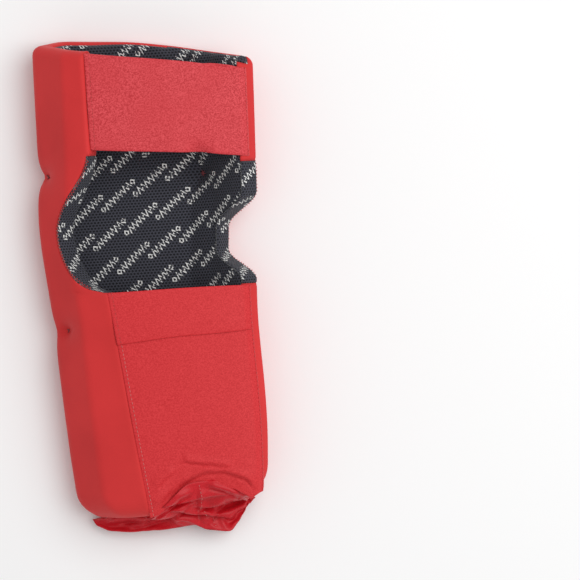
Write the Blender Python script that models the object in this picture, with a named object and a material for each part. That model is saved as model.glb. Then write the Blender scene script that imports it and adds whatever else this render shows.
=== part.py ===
"""Padded elbow guard, lying on its back with the elbow crease upwards.

A C-shaped shell of foam wraps the back and sides of the arm. A stretch cover skins the
outside of the foam and a knitted mesh lines the inside. Two elastic bands and a stretch
panel close the front, and leave a window over the crease of the elbow. Both free edges of
the shell are cut away beside that window, and a gathered cuff closes the wrist end.

X runs across the arm, +Y towards the shoulder and +Z out of the crease of the elbow. All
lengths are millimetres until `place` scales them. Stations are measured along Y from the
crease, because the pad bends there, and the row's origin is under the middle of its box.
"""

import math

import bmesh
import bpy
from mathutils import Vector

MM = 0.001

# Where the elbow axis stands in the row frame
CREASE_X = -0.81
CREASE_Y = 31.88
AXIS_Z = 22.0

# Outline along the arm: station, left side, right side, edge of the left flap, crest height
STATIONS = (
    (134.0, -75.5, 78.0, -38.0, 58.0),
    (55.0, -77.0, 76.5, -40.0, 57.0),
    (10.0, -79.0, 74.5, -37.0, 56.0),
    (-50.0, -74.0, 71.0, -29.0, 54.0),
    (-125.0, -69.5, 72.5, -20.0, 52.0),
    (-165.0, -66.5, 71.5, -15.0, 50.0),
    (-180.0, -64.0, 69.5, -13.0, 48.0),
    (-190.0, -55.0, 62.0, -12.0, 44.0),
)

# Section corners, as distances in from a side and shares of the crest height
CREASE_IN, CREASE_UP = 23.0, 0.88
WAIST_UP = 0.42
BACK_LEFT_IN, BACK_RIGHT_IN = 18.0, 42.0
HIP_IN, HIP_UP = 22.0, 0.25
RIGHT_EDGE_UP = 0.66
CORNER_RADII = (10.0, 9.0, 14.0, 20.0, 16.0)
SMALLEST_RADIUS = 1.5
ARC_STEPS = 4
WAIST_CORNER, HEEL_LEFT, HEEL_RIGHT = 1, 2, 3
LEFT_POINTS, RIGHT_POINTS = 9, 7
FLAP_POINTS = {"upper": 3, "forearm": 4}

# Layers, measured inwards from the outer surface
GAP = 0.3
COVER = (0.0, 1.0)
FOAM = (1.3, 13.3)
LINING = (13.6, 14.5)
FACING_THICKNESS, FACING_GAP = 0.8, 1.0
BAND_THICKNESS = 1.4
PANEL_THICKNESS = 0.8

# The shell bends between these two stations
BEND_TOP, BEND_BOTTOM = 52.0, -52.0

# Cut-outs in the two free edges beside the crease
CUT_SPAN = 16.0
LEFT_BITE, LEFT_BITE_TOP, LEFT_BITE_MIDDLE, LEFT_BITE_BOTTOM = 30.0, 61.0, 6.0, -35.0
RIGHT_BITE, RIGHT_BITE_MIDDLE, RIGHT_BITE_HALF = 28.0, -3.0, 31.0
FACING_TOP, FACING_BOTTOM = 50.0, -30.0

# Ends of the shell: both are cut slightly aslant
TOP_Y, TOP_SLOPE, TOP_ARCH = 134.5, -0.15, -0.0009
BOTTOM_Y, BOTTOM_MIDDLE, BOTTOM_ARCH = -190.0, -25.0, 0.0016
FLAP_DROP, CREASE_SPREAD = 9.0, 40.0

# Elastic bands and stretch panel: each edge as (station at the left, station at the right)
UPPER_BAND = ((129.0, 115.0), (61.5, 51.0))
LOWER_BAND = ((-35.5, -36.5), (-71.0, -66.0))
PANEL_BOTTOM = (-186.0, -180.0)
BAND_SEAT = 5.0
BAND_LEFT_CLEARANCE = 1.3
BAND_CROWN = 2.5

# Gathered cuff
CUFF_TOP, CUFF_BOTTOM = -191.5, -202.5
CUFF_LEFT, CUFF_RIGHT, CUFF_FLOOR, CUFF_CREST = -48.0, 56.0, 1.0, 41.0
CUFF_WALL, CUFF_TAPER, CUFF_SLANT = 3.0, 2.0, -0.045
HEM_WALL, HEM_LENGTH, HEM_INSET = 1.5, 7.0, 3.3
CUFF_SIDES = 28

# Tacks that draw the cover into holes in the foam
TACK_HOLE_RADIUS, TACK_RADIUS = 4.0, 1.0
TACK_STATIONS = {"upper": 45.0, "lower": -60.0}
TACK_SPOTS = {"left": (1, 0.5), "right": (4, 0.45)}
TACK_SIDES = 12

# Seam threads
THREAD_RADIUS = 0.35
THREAD_LIFT = 0.8
THREAD_INSET = 3.0
THREAD_END_SHARE = 0.2

COLOURS = {
    "cover_knit": ((0.62, 0.030, 0.028), 0.85),
    "band_elastic": ((0.60, 0.035, 0.045), 0.90),
    "stretch_knit": ((0.60, 0.032, 0.042), 0.80),
    "mesh_lining": ((0.012, 0.013, 0.018), 0.90),
    "foam_sheet": ((0.55, 0.56, 0.57), 0.95),
    "seam_thread": ((0.58, 0.060, 0.060), 0.70),
}


def clear_scene():
    for obj in list(bpy.data.objects):
        bpy.data.objects.remove(obj)


def material(name):
    """One Principled material for each cloth."""
    found = bpy.data.materials.get(name)
    if found:
        return found
    colour, roughness = COLOURS[name]
    made = bpy.data.materials.new(name)
    made.use_nodes = True
    shader = made.node_tree.nodes["Principled BSDF"]
    shader.inputs["Base Color"].default_value = (*colour, 1.0)
    shader.inputs["Roughness"].default_value = roughness
    shader.inputs["Metallic"].default_value = 0.0
    return made


def body_frame(name):
    """An empty on the elbow axis, which carries the pieces of one body."""
    empty = bpy.data.objects.new(name, None)
    empty.location = Vector((CREASE_X, CREASE_Y, AXIS_Z)) * MM
    bpy.context.scene.collection.objects.link(empty)
    return empty


def place(point):
    """Design millimetres to the body frame's metres."""
    x, y, z = point
    return Vector((x, y, z - AXIS_Z)) * MM


def add_object(name, data, cloth, frame):
    data.materials.append(material(cloth))
    obj = bpy.data.objects.new(name, data)
    obj.parent = frame
    bpy.context.scene.collection.objects.link(obj)
    return obj


def smooth(t):
    t = min(max(t, 0.0), 1.0)
    return t * t * (3.0 - 2.0 * t)


def outline(y):
    """Left side, right side, flap edge and crest height at a station, on a smooth curve."""
    if y >= STATIONS[0][0]:
        return STATIONS[0][1:]
    if y <= STATIONS[-1][0]:
        return STATIONS[-1][1:]
    at = next(k for k in range(len(STATIONS) - 1) if STATIONS[k + 1][0] <= y)
    before, here, after, beyond = (
        STATIONS[min(max(at + step, 0), len(STATIONS) - 1)] for step in (-1, 0, 1, 2)
    )
    span = after[0] - here[0]
    t = (y - here[0]) / span
    values = []
    for k in range(1, 5):
        slope_here = (after[k] - before[k]) / (after[0] - before[0]) * span
        slope_after = (beyond[k] - here[k]) / (beyond[0] - here[0]) * span
        values.append(
            (2 * t**3 - 3 * t**2 + 1) * here[k]
            + (t**3 - 2 * t**2 + t) * slope_here
            + (3 * t**2 - 2 * t**3) * after[k]
            + (t**3 - t**2) * slope_after
        )
    return values


def left_bite(y):
    """How far the left flap is cut back at a station."""
    if y >= LEFT_BITE_MIDDLE:
        reach = (y - LEFT_BITE_MIDDLE) / (LEFT_BITE_TOP - LEFT_BITE_MIDDLE)
        return LEFT_BITE * smooth(1.0 - reach)
    reach = (LEFT_BITE_MIDDLE - y) / (LEFT_BITE_MIDDLE - LEFT_BITE_BOTTOM)
    return LEFT_BITE * math.sqrt(max(0.0, 1.0 - reach**2))


def right_bite(y):
    """How far the right edge is cut back at a station."""
    reach = abs(y - RIGHT_BITE_MIDDLE) / RIGHT_BITE_HALF
    return RIGHT_BITE * smooth((0.97 - reach) / 0.72)


def corners(y):
    """The outer section as straight sides: left edge, five corners, right edge."""
    left, right, flap, crest = outline(y)
    return [
        Vector((flap, crest)),
        Vector((left + CREASE_IN, CREASE_UP * crest)),
        Vector((left, WAIST_UP * crest)),
        Vector((left + BACK_LEFT_IN, 0.0)),
        Vector((right - BACK_RIGHT_IN, 0.0)),
        Vector((right - HIP_IN, HIP_UP * crest)),
        Vector((right, RIGHT_EDGE_UP * crest)),
    ]


def inward(start, end):
    """Unit normal to the left of start to end, which points into the arm channel."""
    along = (end - start).normalized()
    return Vector((-along.y, along.x))


def turned(vector, angle):
    """A flat vector turned anticlockwise."""
    cos, sin = math.cos(angle), math.sin(angle)
    return Vector((vector.x * cos - vector.y * sin, vector.x * sin + vector.y * cos))


def offset_corners(points, depth):
    """The same sides moved inwards by depth, with each corner where they meet again."""
    normals = [inward(a, b) for a, b in zip(points, points[1:])]
    moved = [points[0] + normals[0] * depth]
    for corner, before, after in zip(points[1:-1], normals, normals[1:]):
        bisector = (before + after).normalized()
        moved.append(corner + bisector * (depth / bisector.dot(before)))
    moved.append(points[-1] + normals[-1] * depth)
    return moved


def rounded(points, radii):
    """The polyline with each inner corner turned into an arc of ARC_STEPS chords."""
    path = [points[0]]
    for before, corner, after, radius in zip(points, points[1:], points[2:], radii):
        normal_in, normal_out = inward(before, corner), inward(corner, after)
        bisector = (normal_in + normal_out).normalized()
        centre = corner + bisector * (radius / bisector.dot(normal_in))
        turn = math.atan2(normal_in.cross(normal_out), normal_in.dot(normal_out))
        for step in range(ARC_STEPS + 1):
            path.append(centre - turned(normal_in, turn * step / ARC_STEPS) * radius)
    path.append(points[-1])
    return path


def corner_middle(k):
    """Index in a rounded path of the middle of corner k's arc."""
    return 1 + k * (ARC_STEPS + 1) + ARC_STEPS // 2


def at_length(path, length):
    """The point that far along a path."""
    for start, end in zip(path, path[1:]):
        stretch = (end - start).length
        if length < stretch:
            return start.lerp(end, length / stretch)
        length -= stretch
    return path[-1].copy()


def length_to_plane(path, spot, out):
    """How far along a path it first passes behind the plane through a spot."""
    travelled = 0.0
    for start, end in zip(path, path[1:]):
        ahead, after = (start - spot).dot(out), (end - spot).dot(out)
        if ahead <= 0.0:
            return travelled
        if after < 0.0:
            return travelled + (end - start).length * ahead / (ahead - after)
        travelled += (end - start).length
    return travelled


def cut_spot(path, length):
    """Where a bite ends on the outer path: the point, its inward normal and the way out."""
    spot = at_length(path, length)
    along = (at_length(path, length + CUT_SPAN) - spot).normalized()
    return spot, Vector((-along.y, along.x)), -along


def shell_path(y, depth):
    """The rounded section of the whole shell at a depth, before the bites are cut."""
    points = offset_corners(corners(y), depth)
    return rounded(points, [max(r - depth, SMALLEST_RADIUS) for r in CORNER_RADII])


def shell_edge(y, side):
    """Outer end point of the shell, its inward normal and the direction out of its end."""
    path = shell_path(y, 0.0)
    if side == "left":
        return cut_spot(path, left_bite(y))
    spot, across, out = cut_spot(path[::-1], right_bite(y))
    return spot, -across, out


def even_points(path, start, count):
    """Equally spaced points from a length along a path to its end."""
    whole = sum((b - a).length for a, b in zip(path, path[1:]))
    return [at_length(path, start + (whole - start) * k / count) for k in range(count + 1)]


def section(y, depth):
    """Points of the shell's section at a station and a depth, left edge to right edge."""
    path = shell_path(y, depth)
    waist, heel = corner_middle(WAIST_CORNER), corner_middle(HEEL_RIGHT)
    ends = []
    for side, part, count in (
        ("left", path[: waist + 1], LEFT_POINTS),
        ("right", path[heel:][::-1], RIGHT_POINTS),
    ):
        spot, _, out = shell_edge(y, side)
        ends.append(even_points(part, length_to_plane(part, spot, out), count))
    return ends[0] + path[waist + 1 : heel] + ends[1][::-1]


def top_edge(x, z):
    """The shoulder end of the shell, which is lower on the left flap than on the back."""
    drop = FLAP_DROP * z / STATIONS[0][4] * smooth(-x / CREASE_SPREAD)
    return TOP_Y + TOP_SLOPE * x + TOP_ARCH * x * x - drop


def bottom_edge(x):
    return BOTTOM_Y + BOTTOM_ARCH * (x - BOTTOM_MIDDLE) ** 2


def aslant(x, y, z):
    """The station y, bent so that the ends of the shell follow their aslant edges."""
    if y > BEND_TOP:
        share = (y - BEND_TOP) / (TOP_Y - BEND_TOP)
        return y + share * (top_edge(x, z) - TOP_Y)
    if y < BEND_BOTTOM:
        share = (y - BEND_BOTTOM) / (BOTTOM_Y - BEND_BOTTOM)
        return y + share * (bottom_edge(x) - BOTTOM_Y)
    return y


def closed_data(name, mesh):
    """Mesh data from a closed bmesh, with every face turned outwards."""
    bmesh.ops.recalc_face_normals(mesh, faces=mesh.faces)
    if mesh.calc_volume(signed=True) < 0.0:
        bmesh.ops.reverse_faces(mesh, faces=mesh.faces)
    data = bpy.data.meshes.new(name)
    mesh.to_mesh(data)
    mesh.free()
    return data


def sheet_solid(name, outer, inner, cloth, frame):
    """A closed solid between two grids of points: a flat grid, extruded, then placed."""
    rows, columns = len(outer), len(outer[0])
    mesh = bmesh.new()
    bmesh.ops.create_grid(
        mesh, x_segments=columns - 1, y_segments=rows - 1, size=0.5
    )
    made = bmesh.ops.extrude_face_region(mesh, geom=mesh.faces[:])
    lifted = {v for v in made["geom"] if isinstance(v, bmesh.types.BMVert)}
    for vert in mesh.verts:
        column = round((vert.co.x + 0.5) * (columns - 1))
        row = round((vert.co.y + 0.5) * (rows - 1))
        grid = inner if vert in lifted else outer
        vert.co = place(grid[row][column])
    data = closed_data(name, mesh)
    obj = add_object(name, data, cloth, frame)
    data.shade_smooth()
    data.set_sharp_from_angle(angle=math.radians(35.0))
    return obj


def trimmed(path, first, last):
    """Part of a section, shortened a little where it is cut from its neighbour."""
    part = [p.copy() for p in path[first : last + 1]]
    if first > 0:
        part[0] += (part[1] - part[0]).normalized() * GAP
    if last < len(path) - 1:
        part[-1] += (part[-2] - part[-1]).normalized() * GAP
    return part


def shell_layer(name, stations, layer, cloth, frame, first=0, last=None):
    """One layer of the shell between two depths, over some stations and part of the section."""
    skins = []
    for depth in layer:
        rows = []
        for y in stations:
            path = section(y, depth)
            end = len(path) - 1 if last is None else last
            rows.append([(p.x, aslant(p.x, y, p.y), p.y) for p in trimmed(path, first, end)])
        skins.append(rows)
    return sheet_solid(name, skins[0], skins[1], cloth, frame)


def edge_facing(name, stations, side, frame):
    """The mesh strip that faces the cut foam along one bite."""
    outer, inner = [], []
    for y in stations:
        edge, depth_way, out_way = shell_edge(y, side)
        for rows, lift in ((outer, FACING_GAP + FACING_THICKNESS), (inner, FACING_GAP)):
            base = edge + out_way * lift
            ends = [base + depth_way * depth for depth in (COVER[0], LINING[1])]
            rows.append([(p.x, y, p.y) for p in ends])
    return sheet_solid(name, outer, inner, "mesh_lining", frame)


def rim_binding(name, station, lift, frame):
    """The strip that closes one end of the shell, from the cover to the lining."""
    rims = []
    for away in (GAP * lift, (GAP + FACING_THICKNESS) * lift):
        rows = []
        for depth in (COVER[0], LINING[1]):
            path = section(station, depth)
            rows.append([(p.x, aslant(p.x, station, p.y) + away, p.y) for p in path])
        rims.append(rows)
    return sheet_solid(name, rims[0], rims[1], "cover_knit", frame)


def front_path(y, crown):
    """Outer line of a band across the front, from its seat on the right edge to the left."""
    right_edge, right_in, right_out = shell_edge(y, "right")
    left_edge, _, left_out = shell_edge(y, "left")
    lift = GAP + BAND_THICKNESS
    seat = right_edge + right_in * BAND_SEAT + right_out * lift
    shoulder = right_edge + right_in * (LINING[1] + 1.0) + right_out * lift
    start = left_edge + left_out * BAND_LEFT_CLEARANCE
    path = [seat, shoulder]
    for share in (0.25, 0.5, 0.75):
        point = shoulder.lerp(start, share)
        point.y += crown * 4.0 * share * (1.0 - share)
        path.append(point)
    return path + [start]


def front_rows(top, bottom, steps, thickness):
    """Outer and inner grids of a sheet across the front between two slanted edges."""
    outer, inner = [], []
    for step in range(steps + 1):
        share = step / steps
        at_left = top[0] + (bottom[0] - top[0]) * share
        at_right = top[1] + (bottom[1] - top[1]) * share
        path = front_path((at_left + at_right) / 2, BAND_CROWN)
        reach = path[0].x - path[-1].x
        for rows, depth in ((outer, 0.0), (inner, thickness)):
            rows.append(
                [
                    (p.x, at_right + (at_left - at_right) * (path[0].x - p.x) / reach, p.y)
                    for p in offset_corners(path, depth)
                ]
            )
    return outer, inner


def thread(name, points, frame):
    """A sewing thread along a seam, as one tube."""
    curve = bpy.data.curves.new(name, "CURVE")
    curve.dimensions = "3D"
    curve.bevel_depth = THREAD_RADIUS * MM
    curve.bevel_resolution = 1
    curve.use_fill_caps = True
    line = curve.splines.new("POLY")
    line.points.add(len(points) - 1)
    for spot, point in zip(line.points, points):
        spot.co = (*place(point), 1.0)
    return add_object(name, curve, "seam_thread", frame)


def seam_line(outer, inner, edge, neighbour):
    """Points just above a sheet's outer face, set in from one of its two seams."""
    points = []
    for above, below in zip(outer, inner):
        start, beside, under = (Vector(p) for p in (above[edge], above[neighbour], below[edge]))
        lifted = (start - under).normalized() * THREAD_LIFT
        points.append(start + (beside - start).normalized() * THREAD_INSET + lifted)
    for end, next_in in ((0, 1), (-1, -2)):
        points[end] = points[end].lerp(points[next_in], THREAD_END_SHARE)
    return points


def front_piece(name, edges, steps, thickness, cloth, frame):
    """A band or panel across the front, with the two seam threads that hold it."""
    outer, inner = front_rows(*edges, steps, thickness)
    sheet_solid(name, outer, inner, cloth, frame)
    thread(f"{name}_right_thread", seam_line(outer, inner, 0, 1), frame)
    thread(f"{name}_left_thread", seam_line(outer, inner, -1, -2), frame)


def oval_ring(name, spans, wall, cloth, frame):
    """A short closed tube round the wrist end, through rings of (station, inset)."""
    centre_x, centre_z = (CUFF_LEFT + CUFF_RIGHT) / 2, (CUFF_FLOOR + CUFF_CREST) / 2
    half_x, half_z = (CUFF_RIGHT - CUFF_LEFT) / 2, (CUFF_CREST - CUFF_FLOOR) / 2
    loops = [(y, inset) for y, inset in spans]
    loops += [(y, inset + wall) for y, inset in reversed(spans)]
    mesh = bmesh.new()
    rings = []
    for y, inset in loops:
        ring = []
        for side in range(CUFF_SIDES):
            angle = 2.0 * math.pi * side / CUFF_SIDES
            reach_x = (half_x - inset) * math.copysign(abs(math.cos(angle)) ** 0.7, math.cos(angle))
            reach_z = (half_z - inset) * math.copysign(abs(math.sin(angle)) ** 0.7, math.sin(angle))
            lean = CUFF_SLANT * reach_x * (CUFF_TOP - y) / (CUFF_TOP - CUFF_BOTTOM)
            spot = (centre_x + reach_x, y + lean, centre_z + reach_z)
            ring.append(mesh.verts.new(place(spot)))
        rings.append(ring)
    for ring, following in zip(rings, rings[1:] + rings[:1]):
        for k in range(CUFF_SIDES):
            after = (k + 1) % CUFF_SIDES
            mesh.faces.new((ring[k], ring[after], following[after], following[k]))
    data = closed_data(name, mesh)
    data.shade_smooth()
    return add_object(name, data, cloth, frame)


def tack_axis(side, y):
    """Where a tack starts on the outer surface, and the way it goes in."""
    first, share = TACK_SPOTS[side]
    points = corners(y)
    way = inward(points[first], points[first + 1])
    spot = points[first].lerp(points[first + 1], share)
    return Vector((spot.x, y, spot.y)), Vector((way.x, 0.0, way.y))


def rod(name, start, way, near, far, radius):
    """A cylinder from near to far along way."""
    mesh = bmesh.new()
    bmesh.ops.create_cone(
        mesh,
        cap_ends=True,
        segments=TACK_SIDES,
        radius1=radius * MM,
        radius2=radius * MM,
        depth=(far - near) * MM,
    )
    data = closed_data(name, mesh)
    obj = bpy.data.objects.new(name, data)
    obj.location = place(start + way * (near + far) / 2)
    obj.rotation_mode = "QUATERNION"
    obj.rotation_quaternion = way.to_track_quat("Z", "Y")
    return obj


def tack(level, side, foam, frame):
    """Cuts the hole in the foam and adds the thread post inside it."""
    start, way = tack_axis(side, TACK_STATIONS[level])
    cutter = rod(f"cut_{level}_{side}", start, way, -10.0, 24.0, TACK_HOLE_RADIUS)
    cutter.parent = frame
    cutter.hide_render = True
    cutter.display_type = "WIRE"
    bpy.context.scene.collection.objects.link(cutter)
    cut = foam.modifiers.new(f"{level}_{side}_hole", "BOOLEAN")
    cut.operation = "DIFFERENCE"
    cut.object = cutter
    post = rod(f"{level}_{side}_tack", start, way, FOAM[0], FOAM[1], TACK_RADIUS)
    post.data.materials.append(material("seam_thread"))
    post.parent = frame
    bpy.context.scene.collection.objects.link(post)


def foam_panels(prefix, stations, frame):
    """The foam of one zone, split where the section turns. The elbow zone has no flap."""
    waist = LEFT_POINTS
    heel_left = waist + corner_middle(HEEL_LEFT) - corner_middle(WAIST_CORNER)
    heel_right = waist + corner_middle(HEEL_RIGHT) - corner_middle(WAIST_CORNER)
    crease = FLAP_POINTS.get(prefix, 0)
    slices = {"left_flap": (0, crease)} if crease else {}
    slices["left_side"] = (crease, heel_left)
    slices["back"] = (heel_left, heel_right)
    slices["right_side"] = (heel_right, heel_right + RIGHT_POINTS)
    made = {}
    for part, (first, last) in slices.items():
        name = f"{prefix}_{part}_foam"
        made[part] = shell_layer(name, stations, FOAM, "foam_sheet", frame, first, last)
    return made


def zone(prefix, stations, frame):
    """Cover, lining and foam of one zone of the shell. Returns the foam panels."""
    shell_layer(f"{prefix}_cover", stations, COVER, "cover_knit", frame)
    shell_layer(f"{prefix}_lining", stations, LINING, "mesh_lining", frame)
    return foam_panels(prefix, stations, frame)


def build():
    clear_scene()
    upper, lower = body_frame("upper_arm_frame"), body_frame("forearm_frame")
    half_gap = GAP / 2
    upper_stations = (BEND_TOP + half_gap, 56.5, 61.0, 82.0, 108.0, TOP_Y)
    elbow_stations = (BEND_BOTTOM + half_gap, -43.0, -35.5, -34.0, -31.0, -27.0, -22.0, -15.0)
    elbow_stations += (-6.0, 3.0, 12.0, 20.0, 27.0, 34.0, 42.0, BEND_TOP - half_gap)
    lower_stations = (BOTTOM_Y, -180.0, -168.0, -150.0, -125.0, -98.0, -72.0)
    lower_stations += (BEND_BOTTOM - half_gap,)

    zone("upper", upper_stations, upper)
    elbow_foam = zone("elbow", elbow_stations, upper)
    lower_foam = zone("forearm", lower_stations, lower)

    facing_stations = [y for y in elbow_stations if FACING_BOTTOM <= y <= FACING_TOP]
    edge_facing("left_edge_facing", facing_stations, "left", upper)
    edge_facing("right_edge_facing", facing_stations, "right", upper)
    rim_binding("top_rim_binding", TOP_Y, 1.0, upper)
    rim_binding("bottom_rim_binding", BOTTOM_Y, -1.0, lower)

    front_piece("upper_band", UPPER_BAND, 4, BAND_THICKNESS, "band_elastic", upper)
    front_piece("lower_band", LOWER_BAND, 3, BAND_THICKNESS, "band_elastic", lower)
    panel = ([y - GAP * 2 for y in LOWER_BAND[1]], PANEL_BOTTOM)
    front_piece("stretch_panel", panel, 6, PANEL_THICKNESS, "stretch_knit", lower)

    cuff = [(CUFF_TOP, 0.0), (-197.0, -CUFF_TAPER / 2), (CUFF_BOTTOM, CUFF_TAPER)]
    oval_ring("wrist_cuff", cuff, CUFF_WALL, "stretch_knit", lower)
    hem = [(CUFF_BOTTOM + 1.0 + HEM_LENGTH, HEM_INSET + CUFF_TAPER), (CUFF_BOTTOM + 1.0, HEM_INSET + CUFF_TAPER)]
    oval_ring("cuff_hem", hem, HEM_WALL, "band_elastic", lower)

    tack("upper", "left", elbow_foam["left_side"], upper)
    tack("upper", "right", elbow_foam["right_side"], upper)
    tack("lower", "left", lower_foam["left_side"], lower)
    tack("lower", "right", lower_foam["right_side"], lower)


build()
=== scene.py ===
"""Visual model of the padded elbow guard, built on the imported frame.

Lengths are millimetres in the pad's own coordinates until `row` turns them into metres:
X across the arm, Y from the crease of the elbow towards the shoulder, Z out of the crease.
"""

import math

import bmesh
import bpy
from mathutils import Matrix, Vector, noise


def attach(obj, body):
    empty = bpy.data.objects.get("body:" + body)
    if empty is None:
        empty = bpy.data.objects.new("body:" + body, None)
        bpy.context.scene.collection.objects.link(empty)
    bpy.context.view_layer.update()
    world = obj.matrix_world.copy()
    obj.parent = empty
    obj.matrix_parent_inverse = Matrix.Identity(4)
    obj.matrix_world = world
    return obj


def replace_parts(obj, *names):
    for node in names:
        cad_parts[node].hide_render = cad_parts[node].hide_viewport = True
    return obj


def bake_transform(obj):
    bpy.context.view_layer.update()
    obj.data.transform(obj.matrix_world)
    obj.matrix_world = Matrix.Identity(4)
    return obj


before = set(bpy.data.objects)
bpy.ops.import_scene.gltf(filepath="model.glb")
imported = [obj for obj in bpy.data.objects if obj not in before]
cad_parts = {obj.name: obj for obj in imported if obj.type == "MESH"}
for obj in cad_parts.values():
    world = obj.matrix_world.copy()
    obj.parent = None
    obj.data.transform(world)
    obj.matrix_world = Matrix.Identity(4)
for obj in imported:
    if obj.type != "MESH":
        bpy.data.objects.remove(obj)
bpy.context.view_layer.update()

MM = 0.001
CREASE_X, CREASE_Y = -0.81, 31.88

# Outline along the arm: station, left side, right side, edge of the left flap, crest height
STATIONS = (
    (134.0, -75.5, 78.5, -38.0, 58.0),
    (55.0, -77.0, 76.5, -37.5, 57.0),
    (10.0, -79.0, 74.5, -37.0, 56.0),
    (-50.0, -74.0, 71.0, -29.0, 54.0),
    (-125.0, -69.5, 72.5, -20.0, 52.0),
    (-165.0, -66.5, 71.5, -15.0, 50.0),
    (-180.0, -64.0, 69.5, -13.0, 48.0),
    (-190.0, -55.0, 62.0, -12.0, 44.0),
)
CREASE_IN, CREASE_UP = 23.0, 0.88
WAIST_UP = 0.42
BACK_LEFT_IN, BACK_RIGHT_IN = 18.0, 42.0
HIP_IN, HIP_UP = 22.0, 0.25
RIGHT_EDGE_UP = 0.66
CORNER_RADII = (10.0, 9.0, 14.0, 20.0, 16.0)
SMALLEST_RADIUS = 3.0
ARC_STEPS = 10
WAIST_CORNER, HEEL_RIGHT = 1, 3

PAD_THICKNESS = 14.5
EDGE_RADIUS = 2.6
END_RADIUS = 6.0
BEND_TOP, BEND_BOTTOM = 50.0, -50.0

CUT_SPAN = 16.0
LEFT_BITE, LEFT_BITE_TOP, LEFT_BITE_MIDDLE, LEFT_BITE_BOTTOM = 30.0, 58.5, 4.0, -35.0
RIGHT_BITE, RIGHT_BITE_MIDDLE, RIGHT_BITE_HALF = 28.0, -3.0, 31.0
RIGHT_BITE_START, RIGHT_BITE_RAMP = 0.97, 0.72
LEFT_FACING = (-35.5, 57.0)
RIGHT_FACING = (-36.0, 49.0)

TOP_Y, TOP_SLOPE, TOP_ARCH = 134.5, -0.15, -0.0009
BOTTOM_Y, BOTTOM_MIDDLE, BOTTOM_ARCH = -190.0, -25.0, 0.0016
FLAP_DROP, CREASE_SPREAD = 11.5, 40.0

# Stations of the upper and the lower edge of each front piece, at its left and its right end
UPPER_BAND = ((128.0, 111.5), (61.5, 51.0))
LOWER_BAND = ((-35.5, -36.5), (-71.6, -66.6))
PANEL = ((-69.5, -64.5), (-190.5, -178.0))


def row(x, y, z):
    """Pad millimetres to row metres."""
    return ((x + CREASE_X) * MM, (y + CREASE_Y) * MM, z * MM)


def smooth(t):
    t = min(max(t, 0.0), 1.0)
    return t * t * (3.0 - 2.0 * t)


def bell(distance, width):
    return math.exp(-((distance / width) ** 2))


# ---------------------------------------------------------------- section of the shell


def outline(y):
    """Left side, right side, flap edge and crest height at a station, on a smooth curve."""
    if y >= STATIONS[0][0]:
        return STATIONS[0][1:]
    if y <= STATIONS[-1][0]:
        return STATIONS[-1][1:]
    at = next(k for k in range(len(STATIONS) - 1) if STATIONS[k + 1][0] <= y)
    before, here, after, beyond = (
        STATIONS[min(max(at + step, 0), len(STATIONS) - 1)] for step in (-1, 0, 1, 2)
    )
    span = after[0] - here[0]
    t = (y - here[0]) / span
    values = []
    for k in range(1, 5):
        slope_here = (after[k] - before[k]) / (after[0] - before[0]) * span
        slope_after = (beyond[k] - here[k]) / (beyond[0] - here[0]) * span
        values.append(
            (2 * t**3 - 3 * t**2 + 1) * here[k]
            + (t**3 - 2 * t**2 + t) * slope_here
            + (3 * t**2 - 2 * t**3) * after[k]
            + (t**3 - t**2) * slope_after
        )
    return values


def left_bite(y):
    if y >= LEFT_BITE_MIDDLE:
        reach = (y - LEFT_BITE_MIDDLE) / (LEFT_BITE_TOP - LEFT_BITE_MIDDLE)
        return LEFT_BITE * smooth(1.0 - reach)
    reach = (LEFT_BITE_MIDDLE - y) / (LEFT_BITE_MIDDLE - LEFT_BITE_BOTTOM)
    return LEFT_BITE * math.sqrt(max(0.0, 1.0 - reach**2))


def right_bite(y):
    reach = abs(y - RIGHT_BITE_MIDDLE) / RIGHT_BITE_HALF
    return RIGHT_BITE * smooth((RIGHT_BITE_START - reach) / RIGHT_BITE_RAMP)


def corners(y):
    left, right, flap, crest = outline(y)
    return [
        Vector((flap, crest)),
        Vector((left + CREASE_IN, CREASE_UP * crest)),
        Vector((left, WAIST_UP * crest)),
        Vector((left + BACK_LEFT_IN, 0.0)),
        Vector((right - BACK_RIGHT_IN, 0.0)),
        Vector((right - HIP_IN, HIP_UP * crest)),
        Vector((right, RIGHT_EDGE_UP * crest)),
    ]


def inward(start, end):
    along = (end - start).normalized()
    return Vector((-along.y, along.x))


def turned(vector, angle):
    cos, sin = math.cos(angle), math.sin(angle)
    return Vector((vector.x * cos - vector.y * sin, vector.x * sin + vector.y * cos))


def offset_corners(points, depth):
    normals = [inward(a, b) for a, b in zip(points, points[1:])]
    moved = [points[0] + normals[0] * depth]
    for corner, before, after in zip(points[1:-1], normals, normals[1:]):
        bisector = (before + after).normalized()
        moved.append(corner + bisector * (depth / bisector.dot(before)))
    moved.append(points[-1] + normals[-1] * depth)
    return moved


def rounded(points, radii):
    path = [points[0]]
    for before, corner, after, radius in zip(points, points[1:], points[2:], radii):
        normal_in, normal_out = inward(before, corner), inward(corner, after)
        bisector = (normal_in + normal_out).normalized()
        centre = corner + bisector * (radius / bisector.dot(normal_in))
        turn = math.atan2(normal_in.cross(normal_out), normal_in.dot(normal_out))
        for step in range(ARC_STEPS + 1):
            path.append(centre - turned(normal_in, turn * step / ARC_STEPS) * radius)
    path.append(points[-1])
    return path


def corner_middle(k):
    return 1 + k * (ARC_STEPS + 1) + ARC_STEPS // 2


def shell_path(y, depth):
    points = offset_corners(corners(y), depth)
    return rounded(points, [max(r - depth, SMALLEST_RADIUS) for r in CORNER_RADII])


def at_length(path, length):
    for start, end in zip(path, path[1:]):
        stretch = (end - start).length
        if length < stretch:
            return start.lerp(end, length / stretch)
        length -= stretch
    return path[-1].copy()


def whole_length(path):
    return sum((b - a).length for a, b in zip(path, path[1:]))


def even_points(path, start, count):
    whole = whole_length(path)
    return [at_length(path, start + (whole - start) * k / count) for k in range(count + 1)]


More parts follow.
